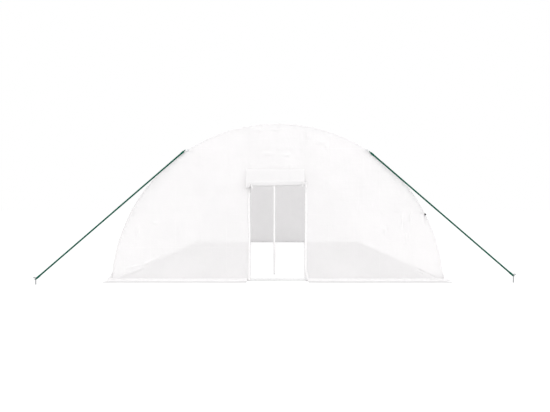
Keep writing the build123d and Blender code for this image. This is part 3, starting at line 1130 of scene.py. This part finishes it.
class POLYTUNNEL_OT_door_strap(bpy.types.Operator):
    """Hang the long tie strap out of the rolled door"""

    bl_idname = "polytunnel.door_strap"
    bl_label = "Hang the door strap"

    tip_width: length("Tip width", "Width at the strap's tip", 0.027)

    def execute(self, context):
        trim = context.scene.polytunnel_trim
        low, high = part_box("door_strap")
        middle_x = (low.x + high.x) / 2 + 0.005
        middle_y = (low.y + high.y) / 2
        wide = high.x - low.x

        def place(across, z):
            up = (z - low.z) / (high.z - low.z)
            width = self.tip_width + (wide - self.tip_width) * smooth(0, 0.5, up)
            turned = 0.25 * sin(2.1 * pi * up) * (1 - up)
            bow = 0.002 * ruffle(z * 2.4, 0.2, 71) * (1 - up**4)
            off = across * width / wide
            return middle_x + bow + off * cos(turned), middle_y + off * sin(turned), z

        columns = spaced(-wide / 2, wide / 2, wide / 6)
        heights = spaced(low.z, high.z, 0.02)
        piece = make_sheet("door_tie_strap", columns, heights, place, lambda a, z: (a, z))
        thicken(piece, STRAP_THICKNESS)
        # The third tone is the strap's darker colour towards its lower end, and painted shade at its edges.
        clean, shade, darker_tone = (toned(trim.webbing, tone) for tone in (1.0, 0.96, 0.82))
        dress(piece, webbing_material("strap_webbing", clean, shade, darker_tone))
        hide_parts("door_strap")
        return {"FINISHED"}


class POLYTUNNEL_OT_hems(bpy.types.Operator):
    """Turn the cover's loose hem out over the ground"""

    bl_idname = "polytunnel.hems"
    bl_label = "Lay the hems"

    rise: length("Rise", "Height of the weld on the film", 0.012)
    foot: length("Foot", "Height at which the hem leaves the film", 0.034)
    crests: length("Crests", "Height of the hem's crumples", 0.010)

    def execute(self, context):
        look = context.scene.polytunnel_film
        # Both hem films are darker than the walls' film, and darker still towards their outer edges:
        # painted shade.
        film = film_material(
            "hem_film", look, NO_SEAM, layers=1.22, painted_shade_tone=0.945, glow=0.20, gloss=0.0,
            painted_shade_band=("X", 0.035, 0.090, 0.84),
        )
        side_film = film_material(
            "side_hem_film", look, NO_SEAM, layers=1.22, painted_shade_tone=0.97, glow=0.24, gloss=0.0,
            painted_shade_band=("X", 0.035, 0.090, 0.96),
        )
        self.side_hem("hem_left", -1, look, side_film)
        self.side_hem("hem_right", 1, look, side_film)
        beside_door = (-HALF_WIDTH, -POST_OUTER), (POST_OUTER, HALF_WIDTH)
        self.end_hem("front_hem", -1, beside_door, film)
        self.end_hem("back_hem", 1, [(-HALF_WIDTH, HALF_WIDTH)], film)
        return {"FINISHED"}

    def side_hem(self, name, side, look, film):
        """The hem along one side, higher at the front corner and closed to the ground there."""
        low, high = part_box(name)
        reach = high.x - low.x
        steps, step = 4, 0.03

        def place(y, out):
            """Past the front end, y is only how far the hem has closed."""
            shut = max(-HALF_LENGTH - y, 0) / (steps * step)
            y = max(y, -HALF_LENGTH)
            skirt = SKIRTS[side] * exp(-(y + HALF_LENGTH) / 0.4)
            x, z = self.section(out, reach, y, 80 + side, skirt)
            arc = z if side > 0 else ARC_LENGTH - z
            on_cover = sqrt(ARCH_RADIUS**2 - (z - ARCH_CENTRE) ** 2) + cover_relief(arc, y, look)
            return side * (on_cover + x), y - 0.012 * smooth(0, 0.5, shut), z + (HEM_GROUND - z) * shut

        closing = [-HALF_LENGTH - step * n for n in range(steps, 0, -1)]
        run = closing + spaced(-HALF_LENGTH, HALF_LENGTH, HEM_STEP)
        piece = make_sheet(name + "_sheet", run, self.outwards(reach), place, lambda y, out: (out, y))
        if side > 0:
            turn_over(piece)
        self.lay(piece, film, reach, 2 * HALF_LENGTH, name)

    def end_hem(self, name, end, lengths, film):
        """The hem along one end, in one length or in two beside the doorway."""
        low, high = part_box(name)
        reach = high.y - low.y + HEM_PAST

        def place(x, out):
            y, z = self.section(out, reach, x, 90 + end)
            flare = 1 + 0.035 * smooth(0.7, 1, abs(x) / HALF_WIDTH) * max(out, 0) / reach
            return x * flare, end * (wall_out(x, z, end) + y), z

        made = []
        for left, right in lengths:
            run = spaced(left, right, HEM_STEP)
            made.append(make_sheet(name, run, self.outwards(reach), place, lambda x, out: (out, x)))
        piece = joined(made, name + "_sheet")
        if end < 0:
            turn_over(piece)
        self.lay(piece, film, reach, sum(right - left for left, right in lengths), name)

    def outwards(self, reach):
        """Places along the hem's section, from its top on the film to its outer edge."""
        weld = spaced(-self.rise, 0, self.rise / 3)
        return weld + spaced(0, 0.06, 0.012)[1:] + spaced(0.06, reach, 0.018)[1:]

    def section(self, out, reach, along, seed, skirt=0.0):
        """Distance from the film and height of a place on the hem's section."""
        if out <= 0:
            return HEM_GAP, HEM_GROUND + self.foot + skirt - out
        part = out / reach
        ragged = 0.07 * reach * ruffle(along * 1.7, 0.5, seed + 3) * part
        coarse = fold(along * 3.2, out * 5, seed)
        fine = fold(along * 7.5 + out * 4, out * 9, seed + 1)
        loose = smooth(0.1, 0.5, part) * (1 - 0.85 * smooth(0.6, 1, part))
        lift = self.crests * (coarse * 0.6 + fine * 0.4) * loose
        hung = self.foot * exp(-out / 0.022) + skirt * (1 - part) ** 1.4
        drawn_in = 0.02 * part * reach
        return HEM_GAP + out + ragged - drawn_in, HEM_GROUND + lift + hung

    def lay(self, piece, film, reach, run, node):
        dress(piece, film)
        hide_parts(node)
        flat = (reach + self.rise + HEM_CLIMB, run)


class POLYTUNNEL_OT_ropes(bpy.types.Operator):
    """Lay up the guy ropes from three strands, with an eye at each end"""

    bl_idname = "polytunnel.ropes"
    bl_label = "Lay up the ropes"

    eye_radius: length("Eye radius", "Middle of the upper eye", 0.015)
    eye_tube: length("Eye rope", "Half thickness of the eyes", 0.007)
    whipping: length("Whipping", "Length of the twine at each end", 0.07)

    def execute(self, context):
        look = context.scene.polytunnel_rope
        material = rope_material("green_rope", look.color, look.shade)
        twine = rope_material("rope_whipping", toned(look.color, 0.8), look.shade)
        for end, side in (("front", -1), ("back", 1)):
            made, wraps = [], []
            for hand in (-1, 1):
                top, foot = self.line(side, hand)
                along = (foot - top).normalized()
                path = self.straight(top, foot)
                made += self.strands(f"{end}_rope", path, look.diameter, look.lay, look.sides)
                made += self.eyes(end, top, foot, along, look.sides)
                starts = top + along * WHIPPING_GAP, foot - along * (self.whipping + WHIPPING_GAP)
                wraps += [self.wrap(start, along, look.diameter) for start in starts]
            piece = joined(made, f"{end}_guy_ropes")
            dress(piece, material)
            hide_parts(f"{end}_ropes")
            dress(joined(wraps, f"{end}_rope_whippings"), twine)
        return {"FINISHED"}

    def line(self, side, hand):
        """The rope's two ends: under its upper eye and above its lower one."""
        x, z = on_arch(HOOP_RADIUS + ROPE_RISE, radians(ROPE_ANGLE))
        tilt = radians(LINK_TILTS[hand])
        reach = LINK_LENGTH - LINK_BAR - LINK_WIDTH / 2
        out = side * (HALF_LENGTH + HOOK_OUT)
        bend = Vector((hand * (x + reach * cos(tilt)), out, z - reach * sin(tilt)))
        peg = Vector((hand * PEG_X, side * (HALF_LENGTH + PEG_OUT[hand]), PEG_NECK[hand]))
        along = (peg - bend).normalized()
        rest = sqrt((self.eye_radius - self.eye_tube) ** 2 - (LINK_BAR / 2) ** 2)
        top = bend + along * (LINK_WIDTH / 2 - LINK_BAR + rest + self.eye_radius)
        return top, peg - along * (PEG_RADIUS + self.eye_tube)

    def straight(self, top, foot):
        """Places down a taut rope."""
        count = ceil((foot - top).length / ROPE_STEP)
        return [top.lerp(foot, n / count) for n in range(count + 1)]

    def swung(self, side, up, radius, turn):
        """The step from an axis to a place round it, turned from side towards up."""
        return side * radius * cos(turn) + up * radius * sin(turn)

    def ring(self, centre, side, up, radius, steps=22):
        """Places round a ring."""
        return [centre + self.swung(side, up, radius, tau * n / steps) for n in range(steps + 1)]

    def eyes(self, end, top, foot, along, sides):
        """The eye through the link and the eye round the peg."""
        sideways = along.cross(Vector((0, 1, 0))).normalized()
        upper = top - along * self.eye_radius
        lower_radius = PEG_RADIUS + self.eye_tube
        lower = foot + along * lower_radius
        round_link = self.ring(upper, along, along.cross(sideways), self.eye_radius)
        round_peg = self.ring(lower, Vector((1, 0, 0)), Vector((0, 1, 0)), lower_radius)
        made = []
        for path, normal in ((round_link, sideways), (round_peg, Vector((0, 0, 1)))):
            made += self.strands(f"{end}_eye", path, 2 * self.eye_tube, EYE_LAY, sides, normal)
        return made

    def strands(self, name, path, diameter, lay, sides, reference=Vector((0, 1, 0))):
        """Three strands laid round each other along a path that never runs along the reference."""
        strand = diameter * 0.5 / (1 + 2 / sqrt(3)) * 1.12
        swing = diameter / 2 - strand
        travelled = 0.0
        rings = [[], [], []]
        for n, point in enumerate(path):
            ahead = (path[min(n + 1, len(path) - 1)] - path[max(n - 1, 0)]).normalized()
            travelled += (point - path[n - 1]).length if n else 0
            side = ahead.cross(reference).normalized()
            up = side.cross(ahead)
            for k in range(3):
                turn = tau * (travelled / lay + k / 3)
                middle = point + self.swung(side, up, swing, turn)
                around = [
                    middle + self.swung(side, up, strand, turn + tau * s / sides) for s in range(sides)
                ]
                rings[k].append((travelled, around))
        return [make_tube(name, strand_rings, tau * strand / sides) for strand_rings in rings]

    def wrap(self, start, along, diameter, turns=12, steps=12):
        """Twine wound tight round the rope's end."""
        matrix = set_frame(start, (0, 1, 0), along)
        rings = []
        for n in range(turns * 2 + 1):
            z = self.whipping * n / (turns * 2)
            radius = diameter / 2 * (1.10 if n % 2 else 1.02)
            turned = [tau * s / steps for s in range(steps)]
            rings.append((z, [matrix @ Vector((radius * cos(a), radius * sin(a), z)) for a in turned]))
        return make_tube("whipping", rings, tau * diameter / 2 / steps)


class POLYTUNNEL_OT_clamp_bolts(bpy.types.Operator):
    """Bolt the purlins' clamps and screw the hoops' sockets"""

    bl_idname = "polytunnel.clamp_bolts"
    bl_label = "Bolt the clamps"

    def execute(self, context):
        trim = context.scene.polytunnel_trim
        zinc = galvanised_material("bolt_zinc", toned(trim.zinc, 1.15), toned(trim.zinc, 0.8))
        inner = HALF_LENGTH - FILM_STAND_IN - 0.001
        places = []
        for y in HOOP_Y:
            low, high = max(y - CLAMP_HALF, -inner), min(y + CLAMP_HALF, inner)
            for degrees in PURLIN_ANGLES:
                places.append(inward(HOOP_RADIUS - CLAMP_DROP, radians(degrees), (low + high) / 2))
        dress(copies(self.bolt(), places, "clamp_bolts"), zinc)
        # A screw stands beside every joint of a hoop but the top one, which the ridge clamp covers
        first = asin((SILL_TOP + 0.005 - ARCH_CENTRE) / HOOP_RADIUS)
        step = (pi - 2 * first) / HOOP_SEGMENTS
        reach = SCREW_REACH / HOOP_RADIUS
        places = [
            inward(HOOP_RADIUS - SOCKET_RADIUS + 0.0005, first + n * step + reach, y)
            for y in HOOP_Y
            for n in range(1, HOOP_SEGMENTS)
            if n != HOOP_SEGMENTS // 2
        ]
        dress(copies(self.screw(), places, "socket_screws"), zinc)
        return {"FINISHED"}

    def bolt(self):
        """A bolt's end with its washer and wing nut, standing up from the origin."""
        washer = cylinder("washer", 20, 0.010, 0, 0.0016)
        with editing(washer):
            pick_faces(washer, lambda middle, normal: normal.z > 0.9)
            bpy.ops.mesh.inset(thickness=0.004, depth=-0.0004)
        stem = cylinder("stem", 12, 0.0035, 0, 0.022)
        soften(stem, 0.0008, 1)
        nut = cylinder("nut", 12, 0.0065, 0.002, 0.011)
        with editing(nut):
            pick_faces(nut, lambda middle, normal: abs(normal.x) > 0.95)
            bpy.ops.mesh.extrude_faces_move(TRANSFORM_OT_shrink_fatten={"value": 0.006})
            bpy.ops.transform.translate(value=(0, 0, 0.004))
            bpy.ops.transform.resize(value=(1, 0.8, 1.15))
            bpy.ops.mesh.extrude_faces_move(TRANSFORM_OT_shrink_fatten={"value": 0.006})
            bpy.ops.transform.translate(value=(0, 0, 0.003))
        soften(nut, 0.0007, 1)
        return joined([washer, stem, nut], "clamp_bolt")

    def screw(self):
        """A low round screw head with a round recess, standing up from the origin."""
        head = cylinder("screw", 16, 0.0055, 0, 0.003)
        with editing(head):
            pick_faces(head, lambda middle, normal: normal.z > 0.9)
            bpy.ops.mesh.inset(thickness=0.0016, depth=0.0008)
            bpy.ops.mesh.inset(thickness=0.0018, depth=-0.0012)
        soften(head, 0.0004, 1)
        return head


class POLYTUNNEL_OT_knob_tail(bpy.types.Operator):
    """Hang the short tail of tape from the knob on the front edge"""

    bl_idname = "polytunnel.knob_tail"
    bl_label = "Hang the knob's tail"

    length: length("Length", "Length of the tail", 0.14)
    width: length("Width", "Width of the tail", 0.020)

    def execute(self, context):
        trim = context.scene.polytunnel_trim
        low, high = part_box("side_knob")
        start = Vector(((low.x + high.x) / 2, high.y - 0.008, low.z + 0.001))

        def place(across, down):
            sway = 0.004 * sin(down * 26)
            return start.x + across + 0.06 * down + sway, start.y + 0.4 * sway, start.z - down

        columns = spaced(-self.width / 2, self.width / 2, self.width / 4)
        downs = spaced(0, self.length, 0.008)
        piece = make_sheet("knob_tail", columns, downs, place, lambda a, down: (a, down))
        thicken(piece, TAPE_THICKNESS)
        tape = toned(trim.webbing, 0.90)
        dress(piece, webbing_material("tail_tape", tape, toned(tape, 0.94)))
        return {"FINISHED"}


class POLYTUNNEL_OT_stage(bpy.types.Operator):
    """Set the pale floor, the soft light and the camera"""

    bl_idname = "polytunnel.stage"
    bl_label = "Set the stage"

    def execute(self, context):
        scene = context.scene
        stage = scene.polytunnel_stage
        floor = settle(new_piece(
            "studio_floor", bpy.ops.mesh.primitive_circle_add,
            vertices=64, radius=120, fill_type="NGON", location=(0, 0, -0.001),
        ))
        floor.data.materials.append(self.floor_material())
        self.sky(scene, stage.sky)
        lamp = bpy.data.lights.new("soft_sun", "SUN")
        lamp.energy = stage.sun
        lamp.angle = radians(100)
        sun = bpy.data.objects.new("soft_sun", lamp)
        sun.rotation_euler = (radians(68), 0, radians(20))
        scene.collection.objects.link(sun)
        self.camera(scene, stage)
        scene.view_settings.view_transform = "Standard"
        return {"FINISHED"}

    def seen(self, shader):
        """1 for what the camera sees, also in a reflection or through glass."""
        camera, glossy, through = (
            shader.node("ShaderNodeLightPath", {}, {}, f"Is {kind} Ray")
            for kind in ("Camera", "Glossy", "Transmission")
        )
        return camera.math("MINIMUM", camera + glossy + through, 1)

    def floor_material(self):
        """White where it is seen straight, with the tunnel's shadow, and a darker grey behind the film that
        is painted shade.
        """
        floor = new_shader("studio_floor")
        # The middle grey, for the floor behind the film, is painted shade.
        plain, painted_shade_floor, shade = (
            floor.node("ShaderNodeBsdfDiffuse", {}, {"Color": (grey, grey, grey, 1)})
            for grey in (0.74, 0.46, 0.2)
        )
        white = floor.node("ShaderNodeEmission", {}, {"Color": (1, 1, 1, 1), "Strength": 0.85})
        direct = floor.node("ShaderNodeAddShader", {}, {0: white, 1: shade})
        place = floor.place()
        inside_x = abs(floor.axis(place, "X")).below(HALF_WIDTH)
        inside_y = abs(floor.axis(place, "Y")).below(HALF_LENGTH)
        films = floor.node("ShaderNodeLightPath", {}, {}, "Transparent Depth")
        covered = films.above(0.5) * inside_x * inside_y
        shown = floor.mixed(covered, direct, painted_shade_floor)
        return floor.finish(floor.mixed(self.seen(floor), plain, shown))

    def sky(self, scene, strength):
        """Even light all round, and plain white behind."""
        scene.world = bpy.data.worlds.new("studio_sky")
        sky = Shader(scene.world)
        light, white = (
            sky.node("ShaderNodeBackground", {}, {"Color": (1, 1, 1, 1), "Strength": bright})
            for bright in (strength, 1.0)
        )
        sky.node("ShaderNodeOutputWorld", {}, {"Surface": sky.mixed(self.seen(sky), light, white)})

    def camera(self, scene, stage):
        """A level camera before the open end, framed as the photograph is."""
        photo_width = 550
        data = bpy.data.cameras.new("camera")
        data.lens = stage.lens
        data.sensor_width = 36
        data.sensor_fit = "HORIZONTAL"
        data.shift_x = -2.5 / photo_width
        data.shift_y = -0.6 / photo_width
        data.clip_end = 500
        camera = bpy.data.objects.new("camera", data)
        camera.location = (0, -HALF_LENGTH - stage.distance, stage.eye_height)
        camera.rotation_euler = (pi / 2, 0, 0)
        scene.collection.objects.link(camera)
        scene.camera = camera


STEPS = (
    POLYTUNNEL_OT_stage,
    POLYTUNNEL_OT_frame,
    POLYTUNNEL_OT_clamp_bolts,
    POLYTUNNEL_OT_cover,
    POLYTUNNEL_OT_end_walls,
    POLYTUNNEL_OT_door_roll,
    POLYTUNNEL_OT_door_edges,
    POLYTUNNEL_OT_door_strap,
    POLYTUNNEL_OT_hems,
    POLYTUNNEL_OT_ropes,
    POLYTUNNEL_OT_knob_tail,
)


GROUPS = {
    "polytunnel_film": PolytunnelFilm,
    "polytunnel_trim": PolytunnelTrim,
    "polytunnel_rope": PolytunnelRope,
    "polytunnel_stage": PolytunnelStage,
}


class POLYTUNNEL_PT_panel(bpy.types.Panel):
    """The tunnel's sizes, colours and steps"""

    bl_label = "Polytunnel greenhouse"
    bl_idname = "POLYTUNNEL_PT_panel"
    bl_space_type = "VIEW_3D"
    bl_region_type = "UI"
    bl_category = "Polytunnel"

    def draw(self, context):
        layout = self.layout
        for group in GROUPS:
            settings = getattr(context.scene, group)
            box = layout.box()
            box.label(text=group.replace("_", " "))
            for name in settings.__annotations__:
                box.prop(settings, name)
        for step in STEPS:
            layout.operator(step.bl_idname)


def register():
    for group, kind in GROUPS.items():
        bpy.utils.register_class(kind)
        setattr(bpy.types.Scene, group, PointerProperty(type=kind))
    for kind in (*STEPS, POLYTUNNEL_PT_panel):
        bpy.utils.register_class(kind)


def unregister():
    for kind in reversed((*STEPS, POLYTUNNEL_PT_panel)):
        bpy.utils.unregister_class(kind)
    for group, kind in reversed(GROUPS.items()):
        delattr(bpy.types.Scene, group)
        bpy.utils.unregister_class(kind)


def main():
    register()
    for step in STEPS:
        family, action = step.bl_idname.split(".")
        getattr(getattr(bpy.ops, family), action)()


if __name__ == "__main__":
    main()
